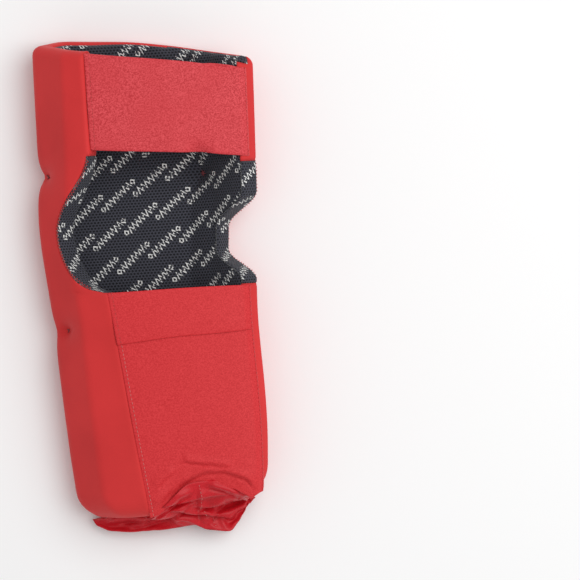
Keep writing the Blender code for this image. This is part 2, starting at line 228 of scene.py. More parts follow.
def length_to_plane(path, spot, out):
    """How far along a path it first passes behind the plane through a spot."""
    travelled = 0.0
    for start, end in zip(path, path[1:]):
        ahead, after = (start - spot).dot(out), (end - spot).dot(out)
        if ahead <= 0.0:
            return travelled
        if after < 0.0:
            return travelled + (end - start).length * ahead / (ahead - after)
        travelled += (end - start).length
    return travelled


def shell_edge(y, side):
    """Outer end point of the shell, its inward normal and the direction out of its end."""
    path = shell_path(y, 0.0)
    sign = 1.0
    length = left_bite(y)
    if side == "right":
        path, sign, length = path[::-1], -1.0, right_bite(y)
    spot = at_length(path, length)
    along = (at_length(path, length + CUT_SPAN) - spot).normalized()
    return spot, Vector((-along.y, along.x)) * sign, -along


LEFT_POINTS, BACK_POINTS, RIGHT_POINTS = 26, 44, 28


def section(y, depth, pull):
    """The shell's section at a depth, with both ends pulled back from their cut planes."""
    path = shell_path(y, depth)
    waist, heel = corner_middle(WAIST_CORNER), corner_middle(HEEL_RIGHT)
    ends = []
    for side, part, count in (
        ("left", path[: waist + 1], LEFT_POINTS),
        ("right", path[heel:][::-1], RIGHT_POINTS),
    ):
        spot, _, out = shell_edge(y, side)
        start = length_to_plane(part, spot - out * pull, out)
        ends.append(even_points(part, start, count))
    middle = even_points(path[waist : heel + 1], 0.0, BACK_POINTS)[1:-1]
    return ends[0] + middle + ends[1][::-1]


def top_edge(x, z):
    """Station of the shoulder end, which lies further down over the flap."""
    drop = FLAP_DROP * z / STATIONS[0][4] * smooth(-x / CREASE_SPREAD)
    return TOP_Y + TOP_SLOPE * x + TOP_ARCH * x * x - drop


def bottom_edge(x):
    return BOTTOM_Y + BOTTOM_ARCH * (x - BOTTOM_MIDDLE) ** 2


def aslant(x, y, z):
    """A station moved so that both ends of the pad follow their own slanting edges."""
    if y > BEND_TOP:
        return y + (y - BEND_TOP) / (TOP_Y - BEND_TOP) * (top_edge(x, z) - TOP_Y)
    if y < BEND_BOTTOM:
        return y + (y - BEND_BOTTOM) / (BOTTOM_Y - BEND_BOTTOM) * (bottom_edge(x) - BOTTOM_Y)
    return y


# ---------------------------------------------------------------- the padded shell

EDGE_STEPS, EDGE_PARTS, END_STEPS = 5, 3, 5

# Tacks: station, where it is between two corners of the section, how far it pulls the cover in
TACKS = {
    "upper_left": (46.0, (1, 0.84), 9.0),
    "upper_right": (42.0, (4, 0.45), 3.0),
    "lower_left": (-60.0, (1, 0.66), 8.0),
    "lower_right": (-60.0, (4, 0.45), 3.0),
}
TACK_REACH = 30.0
WIDE_DENT, TIGHT_DENT = (9.5, 13.0), (3.6, 6.5)
WIDE_SHARE, TIGHT_SHARE = 0.45, 0.55


def shell_ring(y, inset, skin):
    """One closed ring of (point, zone) round the pad: outer face, right edge, inner, left."""
    near, far = skin + inset, PAD_THICKNESS - skin - inset
    radius = min(EDGE_RADIUS, (far - near) / 2 * 0.98)
    outer = section(y, near, skin + radius)
    inner = section(y, far, skin + radius)
    ring = [(p, "outer") for p in outer]
    for side in ("right", "left"):
        spot, normal, out = shell_edge(y, side)
        spot = spot - out * skin
        arc = []
        for step in range(1, EDGE_STEPS):
            angle = math.pi / 2 * step / EDGE_STEPS
            arc.append((math.sin(angle), 1.0 - math.cos(angle)))
        points = [
            spot + out * radius * (ahead - 1.0) + normal * (near + radius * deep)
            for ahead, deep in arc
        ]
        flat = far - near - 2 * radius
        points += [
            spot + normal * (near + radius + flat * k / EDGE_PARTS) for k in range(EDGE_PARTS + 1)
        ]
        points += [
            spot + out * radius * (ahead - 1.0) + normal * (far - radius * deep)
            for ahead, deep in arc[::-1]
        ]
        if side == "right":
            ring += [(p, "right") for p in points]
            ring += [(p, "inner") for p in inner[::-1]]
        else:
            ring += [(p, "left") for p in points[::-1]]
    return ring


def shell_rows(spacing, skin):
    """(station, inset, is_end) for each ring from the shoulder end to the wrist end."""
    rows = []
    radius = END_RADIUS - skin * 0.4
    top, bottom = TOP_Y - skin, BOTTOM_Y + skin
    for k in range(END_STEPS):
        angle = math.pi / 2 * (1.0 - k / END_STEPS)
        inset = radius * (1.0 - math.cos(angle))
        rows.append((top - radius + radius * math.sin(angle), inset, True))
    straight = top - bottom - 2 * radius
    count = round(straight / spacing)
    for k in range(count + 1):
        rows.append((top - radius - straight * k / count, 0.0, False))
    for k in range(1, END_STEPS + 1):
        angle = math.pi / 2 * k / END_STEPS
        inset = radius * (1.0 - math.cos(angle))
        rows.append((bottom + radius - radius * math.sin(angle), inset, True))
    return rows


def tack_spot(name):
    """Where a tack pulls the cover in: the outer point and the way in."""
    y, (first, share), _ = TACKS[name]
    points = corners(y)
    way = inward(points[first], points[first + 1])
    spot = points[first].lerp(points[first + 1], share)
    return Vector((spot.x, y, spot.y)), Vector((way.x, 0.0, way.y))


TACK_PLACES = {name: tack_spot(name) for name in TACKS}


def dented(point, zone):
    """The point after the tacks have drawn the cloth into the foam."""
    moved = point.copy()
    for name, (spot, way) in TACK_PLACES.items():
        pull = TACKS[name][2]
        rel = point - spot
        across = rel - way * rel.dot(way)
        around = Vector((-way.z, 0.0, way.x))
        along_y, sideways = across.y, across.dot(around)
        if abs(along_y) > TACK_REACH or abs(sideways) > TACK_REACH:
            continue
        if zone != "inner":
            wide = math.hypot(along_y / WIDE_DENT[0], sideways / WIDE_DENT[1])
            tight = math.hypot(along_y / TIGHT_DENT[0], sideways / TIGHT_DENT[1])
            moved += way * pull * (WIDE_SHARE * bell(wide, 1.0) + TIGHT_SHARE * bell(tight, 1.0))
        elif name.endswith("right"):
            spin = math.atan2(sideways, along_y)
            reach = math.hypot(along_y, sideways)
            pucker = 0.8 * math.sin(5.0 * spin + 0.7) * bell(reach - 9.0, 6.0)
            moved -= way * (5.6 * bell(reach, 7.5) + 1.8 * bell(reach, 17.0) + pucker)
    return moved


def soft_noise(point, seed):
    """Slow unevenness of hand-made padding, from -1 to 1."""
    slow = noise.noise(Vector((point.x / 46.0, point.y / 60.0, point.z / 46.0 + seed)))
    quick = noise.noise(Vector((point.x / 15.0, point.y / 21.0, point.z / 15.0 + seed * 2.0)))
    return slow * 0.8 + quick * 0.2


LINING_START_X, RIM_END_X = -58.0, 20.0
RIM_INSET, THIN_RIM_INSET = 3.4, 5.7
TURNED_LINING_Y, LOOSE_LINING_Y = 128.0, 112.0
UNEVEN, SEAM_DIP, LINING_SLACK = 0.55, 0.55, 1.5
LOWEST_Z = 0.02
ZONES = ("outer", "end", "left", "right", "inner")


def shows_lining(spot, inset):
    """At the shoulder end the lining is turned up almost to the rim."""
    if spot.y < 0.0 or spot.x < LINING_START_X:
        return False
    return inset < (RIM_INSET if spot.x < RIM_END_X else THIN_RIM_INSET)


def face_zone(zones, k, ring_rows, spot):
    """Which piece of cloth a face belongs to, between points k and k + 1 of two rings."""
    (y_above, inset, end_above), (y_below, _, end_below) = ring_rows
    after = (k + 1) % len(zones)
    middle = (y_above + y_below) / 2
    zone = zones[k]
    if zone != zones[after] and zone in ("outer", "inner"):
        zone = zones[after]
    if (end_above or end_below) and zone == "inner" and not shows_lining(spot, inset):
        return "end"
    if zone == "left" and not LEFT_FACING[0] < middle < LEFT_FACING[1]:
        return "outer"
    if zone == "right" and not RIGHT_FACING[0] < middle < RIGHT_FACING[1]:
        turned_in = middle > TURNED_LINING_Y and k - zones.index("right") >= EDGE_STEPS
        return "inner" if turned_in else "outer"
    return zone


def close_end(mesh, line, outer_count, edge_count, flip):
    """Closes one end of the shell between its outer and its inner face."""
    inner_end = outer_count * 2 + edge_count
    right_edge, left_edge = line[outer_count : outer_count + edge_count], line[inner_end:]
    outer, inner = line[:outer_count], line[outer_count + edge_count : inner_end][::-1]
    loops = [
        [outer[k], outer[k + 1], inner[k + 1], inner[k]] for k in range(outer_count - 1)
    ]
    loops.append([inner[0]] + left_edge + [outer[0]])
    loops.append([outer[-1]] + right_edge + [inner[-1]])
    for loop in loops:
        mesh.faces.new(loop[::-1] if flip else loop)
    return len(loops)


def lay_cloth(grid, arc_length, cloth, outer_count, edge_count):
    """Gives each point its place on the flat cloth, in metres, for the weave and the print."""
    inner_start, inner_end = outer_count + edge_count, outer_count * 2 + edge_count
    for line in grid:
        outer_centre = arc_length[line[outer_count // 2]]
        inner_centre = arc_length[line[inner_start + outer_count // 2]]
        for k, vert in enumerate(line):
            along = arc_length[vert]
            across = inner_centre - along if k >= outer_count else along - outer_centre
            vert[cloth] = (across * MM, vert.co.y * MM, 0.0)
    for first in (outer_count, inner_end):
        travelled, before = 0.0, grid[0][first].co
        for line in grid:
            travelled += (line[first].co - before).length
            before = line[first].co
            start = arc_length[line[first]]
            for vert in line[first + 1 : first + edge_count - 1]:
                vert[cloth] = ((arc_length[vert] - start) * MM, travelled * MM, 0.0)


def soften(mesh, layer):
    """Slow unevenness, a shallow dip along each seam, and slack in the lining at the shoulder."""
    mesh.normal_update()
    moves = {}
    for vert in mesh.verts:
        push = UNEVEN * soft_noise(vert.co, 3.0)
        kinds = {ZONES[face[layer]] for face in vert.link_faces}
        kinds = {"outer" if kind == "end" else kind for kind in kinds}
        if len(kinds) > 1:
            push -= SEAM_DIP
        if kinds == {"inner"} and vert.co.y > LOOSE_LINING_Y:
            loose = smooth((vert.co.y - LOOSE_LINING_Y) / 6.0)
            ripple = noise.noise(Vector((vert.co.x / 9.0, vert.co.y / 7.0, 31.0)))
            push += LINING_SLACK * loose * ripple
        if vert.co.z < 1.0:
            push = min(push, 0.0)
        moves[vert] = vert.normal * push
    for vert, move in moves.items():
        vert.co += move


def make_shell(spacing, skin, detailed):
    """A closed padded shell: its mesh, the layer with each face's zone, and its seam lines."""
    rows = shell_rows(spacing, skin)
    mesh = bmesh.new()
    layer = mesh.faces.layers.int.new("zone")
    cloth = mesh.verts.layers.float_vector.new("cloth")
    grid, arc_length = [], {}
    for y, inset, _ in rows:
        ring = shell_ring(y, inset, skin)
        line, travelled, previous = [], 0.0, ring[0][0]
        for p, zone in ring:
            travelled += (p - previous).length
            previous = p
            point = dented(Vector((p.x, aslant(p.x, y, p.y), p.y)), zone)
            vert = mesh.verts.new(point)
            arc_length[vert] = travelled
            line.append(vert)
        grid.append(line)
    zones = [zone for _, zone in ring]
    size, outer_count = len(zones), zones.index("right")
    edge_count = zones.index("inner") - outer_count
    tags = []
    for r, (above, below) in enumerate(zip(grid, grid[1:])):
        for k in range(size):
            after = (k + 1) % size
            mesh.faces.new((above[k], below[k], below[after], above[after]))
            tags.append(face_zone(zones, k, rows[r : r + 2], above[k].co))
    for line, flip in ((grid[0], False), (grid[-1], True)):
        tags += ["outer"] * close_end(mesh, line, outer_count, edge_count, flip)
    for face, tag in zip(mesh.faces, tags):
        face[layer] = ZONES.index(tag)
    lay_cloth(grid, arc_length, cloth, outer_count, edge_count)
    bmesh.ops.recalc_face_normals(mesh, faces=mesh.faces)
    if mesh.calc_volume(signed=True) < 0:
        bmesh.ops.reverse_faces(mesh, faces=mesh.faces)
    if detailed:
        soften(mesh, layer)
    for vert in mesh.verts:
        vert.co = Vector(row(vert.co.x, vert.co.y, max(vert.co.z, LOWEST_Z + skin)))
    mesh.normal_update()
    seams = {}
    for name, k, span in (
        ("left_outer", size - 1, LEFT_FACING),
        ("left_inner", outer_count * 2 + edge_count, LEFT_FACING),
        ("right_outer", outer_count, RIGHT_FACING),
        ("right_inner", outer_count + edge_count - 1, RIGHT_FACING),
    ):
        seams[name] = [
            (line[k].co.copy(), line[k].normal.copy())
            for line, (y, _, _) in zip(grid, rows)
            if span[0] < y < span[1]
        ]
    return mesh, layer, seams


def object_from(mesh, name):
    data = bpy.data.meshes.new(name)
    mesh.to_mesh(data)
    mesh.free()
    obj = bpy.data.objects.new(name, data)
    bpy.context.scene.collection.objects.link(obj)
    data.shade_smooth()
    return obj


def split_zone(mesh, zones, name, thickness):
    """A cloth piece from some zones of the shell, given its own thickness inwards."""
    part = mesh.copy()
    layer = part.faces.layers.int["zone"]
    gone = [face for face in part.faces if ZONES[face[layer]] not in zones]
    bmesh.ops.delete(part, geom=gone, context="FACES")
    obj = object_from(part, name)
    solid = obj.modifiers.new("thickness", "SOLIDIFY")
    solid.thickness = thickness * MM
    solid.offset = -1.0
    solid.use_even_offset = False
    apply_modifiers(obj)
    return obj


def apply_modifiers(obj):
    graph = bpy.context.evaluated_depsgraph_get()
    data = bpy.data.meshes.new_from_object(obj.evaluated_get(graph), depsgraph=graph)
    obj.modifiers.clear()
    obj.data = data
    data.shade_smooth()


def finish_piece(obj, material):
    obj.data.materials.clear()
    obj.data.materials.append(material)
    return obj


# ---------------------------------------------------------------- sewn threads


def tube_object(name, paths, radius, sides=6):
    """Short closed tubes along polylines given in row metres, as one mesh."""
    mesh = bmesh.new()
    for path in paths:
        points = [Vector(p) for p in path]
        rings = []
        for k, point in enumerate(points):
            along = (points[min(k + 1, len(points) - 1)] - points[max(k - 1, 0)]).normalized()
            helper = Vector((0.0, 0.0, 1.0)) if abs(along.z) < 0.8 else Vector((1.0, 0.0, 0.0))
            side = along.cross(helper).normalized()
            up = side.cross(along)
            thick = radius * (0.62 if k in (0, len(points) - 1) else 1.0)
            turns = [2 * math.pi * s / sides for s in range(sides)]
            rings.append(
                [
                    mesh.verts.new(point + (side * math.cos(turn) + up * math.sin(turn)) * thick)
                    for turn in turns
                ]
            )
        for ring, following in zip(rings, rings[1:]):
            for s in range(sides):
                after = (s + 1) % sides
                mesh.faces.new((ring[s], ring[after], following[after], following[s]))
        mesh.faces.new(rings[0][::-1])
        mesh.faces.new(rings[-1])
    bmesh.ops.recalc_face_normals(mesh, faces=mesh.faces)
    return object_from(mesh, name)


def walk(points, pitch):
    """Points evenly spaced along a polyline of (spot, normal) pairs, with their direction."""
    spots = [Vector(p) for p, _ in points]
    normals = [Vector(n) for _, n in points]
    lengths = [0.0]
    for a, b in zip(spots, spots[1:]):
        lengths.append(lengths[-1] + (b - a).length)
    found = []
    count = max(int(lengths[-1] / pitch), 1)
    k = 0
    for step in range(count + 1):
        target = lengths[-1] * step / count
        while k < len(lengths) - 2 and lengths[k + 1] < target:
            k += 1
        share = (target - lengths[k]) / max(lengths[k + 1] - lengths[k], 1e-9)
        along = (spots[k + 1] - spots[k]).normalized()
        spot = spots[k].lerp(spots[k + 1], share)
        found.append((spot, normals[k].lerp(normals[k + 1], share), along))
    return found


STITCH_DIP = 0.3


def running_stitch(name, line, pitch, length, radius, lift=0.25):
    """Separate short stitches along a seam, whose ends dip into the cloth."""
    paths = []
    for spot, normal, along in walk(line, pitch * MM)[:-1]:
        reach = along * length * MM
        base = spot + normal * lift * MM
        dip = normal * STITCH_DIP * MM
        paths.append([base - dip, base + reach * 0.2, base + reach * 0.8, base + reach - dip])
    return tube_object(name, paths, radius * MM)


def overlock(name, line, pitch, width, radius, lift=0.3):
    """A zigzag thread along an edge, reaching a little further on the side of the lining."""
    path = []
    for k, (spot, normal, along) in enumerate(walk(line, pitch / 2 * MM)):
        across = normal.cross(along).normalized()
        wobble = 0.12 * math.sin(1.7 * k) + 0.1 * math.sin(0.61 * k + 1.0)
        reach = (width if k % 2 else -0.45 * width) + wobble
        path.append(spot + across * reach * MM + normal * lift * MM)
    return tube_object(name, [path], radius * MM, sides=5)


# ---------------------------------------------------------------- bands and panel

BAND_SEAT, BAND_SHOULDER = 8.2, 15.5
BAND_LIFT, BAND_CROWN = 1.5, 2.4
BAND_BEND, BAND_BEND_STEPS, BAND_STEPS = 0.06, 5, 23


def front_line(y_left, y_right, sink=0.4, tuck=0.4):
    """Line across the front between a station at each side, from the right edge to the flap."""
    right_edge, right_in, right_out = shell_edge(y_right, "right")
    left_edge, left_in, left_out = shell_edge(y_left, "left")
    seat = right_edge + right_in * BAND_SEAT + right_out * BAND_LIFT
    shoulder = right_edge + right_in * BAND_SHOULDER + right_out * BAND_LIFT
    start = left_edge + left_in * sink - left_out * tuck
    bend_start, bend_end = seat.lerp(shoulder, 0.7), shoulder.lerp(start, BAND_BEND)
    line = [seat, bend_start]
    for step in range(1, BAND_BEND_STEPS):
        share = step / BAND_BEND_STEPS
        first, second = bend_start.lerp(shoulder, share), shoulder.lerp(bend_end, share)
        line.append(first.lerp(second, share))
    for step in range(1, BAND_STEPS + 1):
        share = BAND_BEND + (1.0 - BAND_BEND) * step / BAND_STEPS
        point = shoulder.lerp(start, share)
        point.y += BAND_CROWN * 4.0 * share * (1.0 - share)
        line.append(point)
    return line


def make_front(name, edges, seam, rows, columns, shape, thickness):
    """A sheet across the front. shape(x, y, share) gives an extra height and slide in mm.

    Returns the piece, its two seam lines and its area in square metres.
    """
    (top_left, top_right), (bottom_left, bottom_right) = edges
    mesh = bmesh.new()
    cloth = mesh.verts.layers.float_vector.new("cloth")
    grid = []
    for r in range(rows + 1):
        share = r / rows
        y_left = top_left + (bottom_left - top_left) * share
        y_right = top_right + (bottom_right - top_right) * share
        path = front_line(y_left, y_right, *seam)
        points = even_points(path, 0.0, columns)
        reach = points[0].x - points[-1].x
        line = []
        for p in points:
            y = y_right + (y_left - y_right) * (points[0].x - p.x) / reach
            lift, slide = shape(p.x, y, share)
            vert = mesh.verts.new((p.x, y + slide, p.y + lift))
            vert[cloth] = (p.x * MM, y * MM, 0.0)
            line.append(vert)
        grid.append(line)
    for above, below in zip(grid, grid[1:]):
        for c in range(columns):
            mesh.faces.new((above[c], above[c + 1], below[c + 1], below[c]))
    mesh.normal_update()
    seams = {
        side: [(Vector(row(*line[column].co)), line[column].normal.copy()) for line in grid]
        for side, column in (("left", -3), ("right", 1))
    }
    area = sum(face.calc_area() for face in mesh.faces) * MM * MM
    for vert in mesh.verts:
        vert.co = Vector(row(*vert.co))
    if sum(face.normal.z for face in mesh.faces) < 0:
        bmesh.ops.reverse_faces(mesh, faces=mesh.faces)
        seams = {side: [(p, -n) for p, n in line] for side, line in seams.items()}
    obj = object_from(mesh, name)
    solid = obj.modifiers.new("thickness", "SOLIDIFY")
    solid.thickness = thickness * MM
    solid.offset = -1.0
    round_over = obj.modifiers.new("round", "SUBSURF")
    round_over.levels = round_over.render_levels = 1
    apply_modifiers(obj)
    return obj, seams, area


def edge_curl(share, rows_length, reach=2.2, drop=0.9):
    """Cut or hemmed edges turn down a little."""
    near = min(share, 1.0 - share) * rows_length
    return -drop * math.exp(-near / reach)


def crease(x, y, line, width):
    """Signed distance from a crease, in widths, and how much of the crease is left there."""
    best = None
    for k in range(len(line) - 1):
        a, b = Vector(line[k]), Vector(line[k + 1])
        along = b - a
        share = max(0.0, min(1.0, (Vector((x, y)) - a).dot(along) / along.length_squared))
        rel = Vector((x, y)) - (a + along * share)
        distance = rel.length
        side = along.x * rel.y - along.y * rel.x
        travelled = (k + share) / (len(line) - 1)
        if best is None or distance < abs(best[0]):
            best = (math.copysign(distance, side), travelled)
    distance, travelled = best
    fade = smooth(min(travelled, 1.0 - travelled) * 5.0 + 0.15)
    return distance / width, fade


def step_fold(x, y, line, width, height, valley):
    """A fold: a soft swell on the line's left, a sharp valley on the line itself."""
    across, fade = crease(x, y, line, width)
    swell = across * math.exp(0.5 - across * across / 2)
    if across <= 0:
        swell *= 0.25
    return fade * (height * swell - valley * math.exp(-((across * 3.0) ** 2)))


# Folds: the crease as points (x, y), the width of its swell, its height and the valley's depth
UPPER_BAND_FOLD = (((36.0, 119.0), (44.0, 115.5), (54.0, 112.5), (66.0, 111.5)), 2.8, 1.5, 1.6)


def upper_band_shape(x, y, share):
    """Slack, a dip over the tack at the lower edge and a tuck at the upper right corner."""
    at_edge = bell(share - 1.02, 0.12)
    lift = edge_curl(share, 70.0)
    lift += 0.45 * noise.noise(Vector((x / 34.0, y / 26.0, 5.0)))
    lift -= 4.2 * bell(x - 37.0, 7.5) * at_edge
    lift += 0.9 * bell(x - 25.0, 7.0) * at_edge + 0.7 * bell(x - 50.0, 6.0) * at_edge
    lift += step_fold(x, y, *UPPER_BAND_FOLD)
    slide = 0.9 * bell(x - 38.0, 8.0) * smooth((share - 0.8) * 5.0)
    if share < 0.05 or share > 0.95:
        slide += 0.3 * math.sin(x / 17.0)
    return lift, slide


def lower_band_shape(x, y, share):
    """The band lies on the panel at its lower edge, and both its edges wave a little."""
    lift = edge_curl(share, 34.0, 1.8, 0.25) + 0.1 + 1.35 * smooth(share * 1.6 - 0.3)
    lift += 0.4 * noise.noise(Vector((x / 30.0, y / 20.0, 9.0)))
    slide = 0.5 * math.sin(x / 13.0 + 0.8) * smooth(share * 2.0 - 0.6)
    slide += 0.4 * math.sin(x / 21.0) * (1.0 - smooth(share * 3.0))
    return lift, slide


# Lower edge of the panel as points (x, y)
ARCH = (
    (-13.8, -191.5), (-6.8, -190.5), (5.3, -181.5), (10.0, -176.0), (17.2, -172.6),
    (33.7, -171.4), (46.0, -173.2), (52.0, -177.0), (57.5, -180.5), (65.0, -178.0),
)
PANEL_THICKNESS, SEAM_GAP = 0.8, 0.6
PANEL_DROOP, DROOP_X, DROOP_WIDTH = 3.0, 30.0, 30.0
PANEL_FOLDS = (
    (((11.5, -154.3), (18.3, -155.9), (34.5, -158.5), (46.0, -160.6)), 2.3, 1.3, 1.5),
    (
        ((8.0, -172.0), (17.5, -167.0), (27.3, -163.3), (41.0, -164.2), (54.5, -169.5), (59.5, -177.0)),
        2.6, 1.7, 1.9,
    ),
    (((-6.0, -172.0), (0.0, -166.0), (8.0, -161.0)), 3.2, 1.0, 0.6),
    (((-9.0, -184.0), (-2.0, -180.0), (4.0, -173.0)), 2.4, 0.9, 0.7),
)


def arch_height(x):
    for (xa, ya), (xb, yb) in zip(ARCH, ARCH[1:]):
        if x <= xb:
            share = smooth((x - xa) / (xb - xa)) * 0.35 + 0.65 * max(0.0, (x - xa) / (xb - xa))
            return ya + (yb - ya) * share
    return ARCH[-1][1]


def panel_shape(x, y, share):
    """Folds over the gathered end, whose edge is cut to the arch and droops in the middle."""
    slide = 0.0
    if x > ARCH[0][0]:
        bottom_left, bottom_right = PANEL[1]
        straight = bottom_left + (bottom_right - bottom_left) * smooth((x + 12.0) / 74.0)
        slide = (arch_height(x) - straight) * smooth((share - 0.35) / 0.65)
    y = y + slide
    lift = 0.4 * noise.noise(Vector((x / 32.0, y / 30.0, 14.0)))
    lift -= 0.1 * math.exp(-share * 115.0 / 2.5)
    lift += sum(step_fold(x, y, *fold) for fold in PANEL_FOLDS)
    lift -= PANEL_DROOP * smooth((share - 0.80) * 5.0) * bell(x - DROOP_X, DROOP_WIDTH)
    lift += 0.5 * math.sin((x + y) / 5.0) * smooth((share - 0.9) * 10.0) * bell(x + 4.0, 16.0)
    return lift, slide


# ---------------------------------------------------------------- gathered cuff

CUFF_COLUMNS, CUFF_ROWS = 110, 24
CUFF_LEFT_X, CUFF_HALF_WIDTH = -44.0, 50.5
CUFF_UNDER_FLAP_Y, CUFF_BACK_Y, CUFF_FLOOR_Z = -179.0, -176.0, 16.0
CUFF_INSIDE, CUFF_TOUCH, FLAP_CLEARANCE = 4.0, 0.4, 15.0
CUFF_ROUND, CUFF_SQUARE = 0.35, 0.13
# The free end of the cuff as points (x, y)
CUFF_HEM = (
    (-53.0, -190.5), (-50.5, -195.0), (-42.0, -199.0), (-28.0, -200.6), (-14.0, -200.8), (2.0, -200.2),
    (19.0, -198.4), (23.6, -202.3), (41.8, -205.0), (48.0, -197.0), (54.0, -187.0), (59.5, -182.5),
)
HEM_Z, HEM_RISE, HEM_FALL = 4.0, 13.0, 2.8
CUFF_EXCESS, CUFF_TWIST = 0.5, 0.12
CUFF_SEAM_X = 21.0
FLAT_MOUTH, FLAT_LENGTH = 0.262, 0.05

SIM_SCALE = 10.0
SIM_FRAMES, QUICK_FRAMES, GATHER_FRAMES = 44, 12, 30
CLOTH_GAP, CUFF_GRAVITY = 0.004, 0.25
TABLE_REACH = 0.4
WALL_SPACING, WALL_Y = 12.0, -160.0

CUFF_FOLDS = (
    (((-44.0, -194.0), (-14.0, -194.5), (0.0, -187.5), (9.0, -180.5), (19.0, -176.0)), 2.8, 3.6, 2.6),
    (((21.5, -172.0), (20.0, -186.0), (21.5, -200.0)), 2.0, 1.2, 1.5),
    (((27.0, -172.5), (42.0, -178.0), (56.0, -186.0)), 2.8, 3.0, 2.4),
    (((25.0, -202.0), (33.0, -192.0), (40.0, -184.0), (50.0, -183.0)), 3.4, 3.0, 1.8),
    (((-30.0, -200.0), (-10.0, -196.5), (8.0, -191.0), (16.0, -184.0)), 2.8, 2.2, 1.6),
)
LOWEST_FOLD = 0.9


def on_line(line, share):
    """Point at a share of the way along a list of points, by length."""
    points = [Vector(p) for p in line]
    return at_length(points, share * whole_length(points))


def panel_underside(x, y):
    """Height of the underside of the stretch panel at a place, without its folds."""
    line = front_line(y, y)
    height = line[0].y if x > line[0].x else line[-1].y
    for right, left in zip(line, line[1:]):
        if left.x <= x <= right.x:
            share = (right.x - x) / max(right.x - left.x, 1e-6)
            height = right.y + (left.y - right.y) * share
            break
    return height - PANEL_THICKNESS - SEAM_GAP - PANEL_DROOP * bell(x - DROOP_X, DROOP_WIDTH)


def cuff_mouth(angle):
    """Where the cuff is sewn inside the mouth of the shell, at an angle round it."""
    x = CUFF_LEFT_X + CUFF_HALF_WIDTH * (1.0 - math.cos(angle))
    if math.sin(angle) < 0.0:
        return Vector((x, CUFF_BACK_Y, CUFF_FLOOR_Z))
    under_flap = x < ARCH[0][0]
    y = CUFF_UNDER_FLAP_Y if under_flap else arch_height(x) + CUFF_INSIDE
    top = panel_underside(x, y) + CUFF_TOUCH + bell(x - 50.0, 8.0)
    if under_flap:
        top -= FLAP_CLEARANCE * smooth((ARCH[0][0] - x) / 6.0)
    power = CUFF_ROUND + (CUFF_SQUARE - CUFF_ROUND) * smooth((x - 30.0) / 14.0)
    return Vector((x, y, CUFF_FLOOR_Z + (top - CUFF_FLOOR_Z) * abs(math.sin(angle)) ** power))


def cuff_hem(angle):
    """Where the free end of the cuff lies, at an angle round it."""
    spot = on_line(CUFF_HEM, 0.5 - 0.5 * math.cos(angle))
    rise = abs(math.sin(angle)) ** 0.75
    return Vector((spot.x, spot.y, HEM_Z + (HEM_RISE if math.sin(angle) >= 0.0 else -HEM_FALL) * rise))


def cuff_points(excess, twist):
    """Rings of the cuff from its mouth to its hem, stretched out by a share of its length."""
    rings = []
    for r in range(CUFF_ROWS + 1):
        down = r / CUFF_ROWS
        ring = []
        for c in range(CUFF_COLUMNS):
            angle = 2.0 * math.pi * c / CUFF_COLUMNS
            mouth, hem = cuff_mouth(angle), cuff_hem(angle + twist)
            hem = mouth + (hem - mouth) * (1.0 + excess)
            point = mouth.lerp(hem, down)
            bulge = 5.0 if math.sin(angle) >= 0.0 else 0.6
            point.z += bulge * abs(math.sin(angle)) * math.sin(math.pi * down)
            point.z = max(point.z, 1.0)
            ring.append(point)
        rings.append(ring)
    return rings


def tube_mesh(rings, scale):
    """The cuff's tube of cloth, with each point's place on the flat cloth in metres."""
    mesh = bmesh.new()
    cloth = mesh.verts.layers.float_vector.new("cloth")
    grid = []
    for r, ring in enumerate(rings):
        line = []
        for c, point in enumerate(ring):
            vert = mesh.verts.new(Vector(row(*point)) * scale)
            vert[cloth] = (c / CUFF_COLUMNS * FLAT_MOUTH, r / CUFF_ROWS * FLAT_LENGTH, 0.0)
            line.append(vert)
        grid.append(line)
    for line, following in zip(grid, grid[1:]):
        for c in range(CUFF_COLUMNS):
            after = (c + 1) % CUFF_COLUMNS
            mesh.faces.new((line[c], line[after], following[after], following[c]))
    bmesh.ops.recalc_face_normals(mesh, faces=mesh.faces)
    return mesh


def fold_lift(spot):
    """Height in mm of the pressed folds at a place given in row metres."""
    x, y = spot.x / MM - CREASE_X, spot.y / MM - CREASE_Y
    return sum(step_fold(x, y, *fold) for fold in CUFF_FOLDS)


def press_folds(obj):
    """The deeper folds of the upper layer, laid over what the simulation made."""
    facings = [smooth(vert.normal.z * 2.0) for vert in obj.data.vertices]
    for vert, facing in zip(obj.data.vertices, facings):
        lift = fold_lift(vert.co) * facing * MM
        vert.co.z = max(vert.co.z + lift, LOWEST_FOLD * MM)


def cuff_seam(obj):
    """Points and normals along the lengthwise seam of the cuff, before it is subdivided."""
    angle = math.acos(1.0 - (CUFF_SEAM_X - CUFF_LEFT_X) / CUFF_HALF_WIDTH)
    column = round(angle / (2.0 * math.pi) * CUFF_COLUMNS)
    line = []
    for r in range(1, CUFF_ROWS):
        spot = obj.data.vertices[r * CUFF_COLUMNS + column].co
        line.append((spot + Vector((0.0, 0.0, fold_lift(spot) * MM)), Vector((0.0, 0.0, 1.0))))
    return line


def obstacle(mesh, name):
    """A mesh at the simulation's scale that the cloth can't pass."""
    obj = object_from(mesh, name)
    obj.modifiers.new("collision", "COLLISION")
    obj.collision.thickness_outer = CLOTH_GAP
    return obj


def cuff_obstacles():
    """The table under the cuff, and the wrist end of the shell."""
    reach = TABLE_REACH * SIM_SCALE
    table = bmesh.new()
    sides = ((-reach, -reach), (reach, -reach), (reach, reach), (-reach, reach))
    table.faces.new([table.verts.new((x, y, 0.0)) for x, y in sides])
    wall, _, _ = make_shell(WALL_SPACING, 0.0, False)
    gone = [vert for vert in wall.verts if vert.co.y > row(0, WALL_Y, 0)[1]]
    bmesh.ops.delete(wall, geom=gone, context="VERTS")
    for vert in wall.verts:
        vert.co *= SIM_SCALE
    return obstacle(table, "table"), obstacle(wall, "wall")


